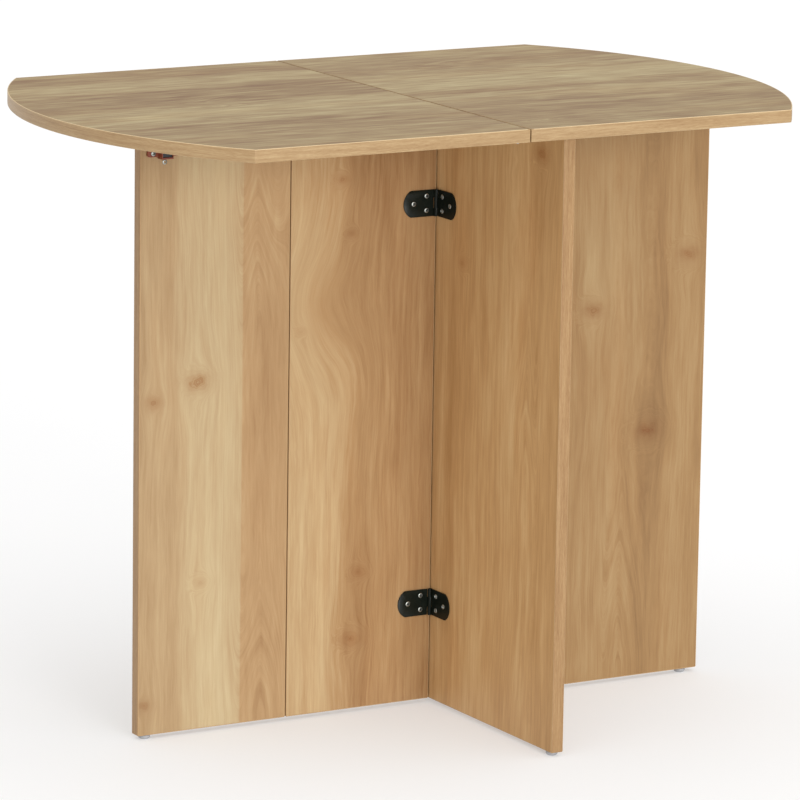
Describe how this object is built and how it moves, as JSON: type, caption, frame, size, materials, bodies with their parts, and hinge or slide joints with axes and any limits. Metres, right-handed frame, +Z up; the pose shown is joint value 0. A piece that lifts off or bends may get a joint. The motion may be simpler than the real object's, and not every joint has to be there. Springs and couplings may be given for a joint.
{
  "type": "gateleg table",
  "caption": "Small gateleg table with bowed ends: half the top is fixed on a T-shaped board base, the other half is a hinged leaf held up by a folding gate.",
  "frame": {"origin": "on the floor, under the middle of the top, where the seam crosses the long centre line", "axes": "+X along the table from the hinged leaf to the fixed half, +Y across it to the back, +Z up"},
  "size_m": [0.906, 0.596, 0.745],
  "materials": {
    "top_print": "satin light oak print, grain along the table",
    "panel_print": "satin light oak print, grain upright",
    "edge_band": "satin wood-print edge band",
    "black_paint": "satin black paint",
    "steel": "zinc-plated",
    "brown_plastic": "satin moulded",
    "pale_plastic": "satin moulded",
    "magnet": "sintered, dull"
  },
  "bodies": {
    "root": {"fixed_top": "top_print", "fixed_top_band": "edge_band", "centre_panel": "panel_print", "centre_panel_band": "edge_band", "spine_panel": "panel_print", "spine_panel_band": "edge_band", "glide_centre_front": "pale_plastic", "glide_centre_back": "pale_plastic", "glide_spine": "pale_plastic", "corner_hinge_upper_panel_leaf": "black_paint", "corner_hinge_upper_pin": "steel", "corner_hinge_lower_panel_leaf": "black_paint", "corner_hinge_lower_pin": "steel", "screw_upper_panel_top": "steel", "screw_upper_panel_bottom": "steel", "screw_upper_panel_end": "steel", "screw_lower_panel_top": "steel", "screw_lower_panel_bottom": "steel", "screw_lower_panel_end": "steel", "top_hinge_front_fixed_leaf": "steel", "top_hinge_front_pin": "steel", "top_hinge_back_fixed_leaf": "steel", "top_hinge_back_pin": "steel", "top_bracket_centre_front": "steel", "top_bracket_centre_back": "steel", "top_bracket_spine_front": "steel", "top_bracket_spine_back": "steel", "spine_bracket_upper": "steel", "spine_bracket_lower": "steel"},
    "leaf": {"drop_leaf": "top_print", "drop_leaf_band": "edge_band", "top_hinge_front_drop_leaf": "steel", "top_hinge_back_drop_leaf": "steel", "strike_plate": "steel"},
    "gate_inner": {"gate_inner_panel": "panel_print", "gate_inner_band": "edge_band", "corner_hinge_upper_gate_leaf": "black_paint", "corner_hinge_lower_gate_leaf": "black_paint", "screw_upper_gate_top": "steel", "screw_upper_gate_bottom": "steel", "screw_upper_gate_end": "steel", "screw_lower_gate_top": "steel", "screw_lower_gate_bottom": "steel", "screw_lower_gate_end": "steel", "fold_hinge_upper_inner_leaf": "steel", "fold_hinge_upper_pin": "steel", "fold_hinge_lower_inner_leaf": "steel", "fold_hinge_lower_pin": "steel"},
    "gate_outer": {"gate_outer_panel": "panel_print", "gate_outer_band": "edge_band", "fold_hinge_upper_outer_leaf": "steel", "fold_hinge_lower_outer_leaf": "steel", "glide_gate": "pale_plastic", "catch_body": "brown_plastic", "catch_yoke": "steel", "catch_magnet": "magnet", "screw_catch_left": "steel", "screw_catch_right": "steel", "catch_stop_screw": "steel"}
  },
  "joints": [
    {"name": "leaf_lift", "type": "hinge", "parent": "root", "child": "leaf", "pos_m": [0, 0, 0.727], "axis": [0, 1, 0], "range_deg": [0, 4]},
    {"name": "gate_swing", "type": "hinge", "parent": "root", "child": "gate_inner", "pos_m": [0.0583, 0.0093, 0.367], "axis": [0, 0, 1], "range_deg": [0, 90]},
    {"name": "gate_fold", "type": "hinge", "parent": "gate_inner", "child": "gate_outer", "pos_m": [-0.136, 0.03, 0.367], "axis": [0, 0, 1], "range_deg": [-180, 0]}
  ],
  "couplings": [
    {"joint": "gate_fold", "follows": "gate_swing", "ratio": -2}
  ]
}
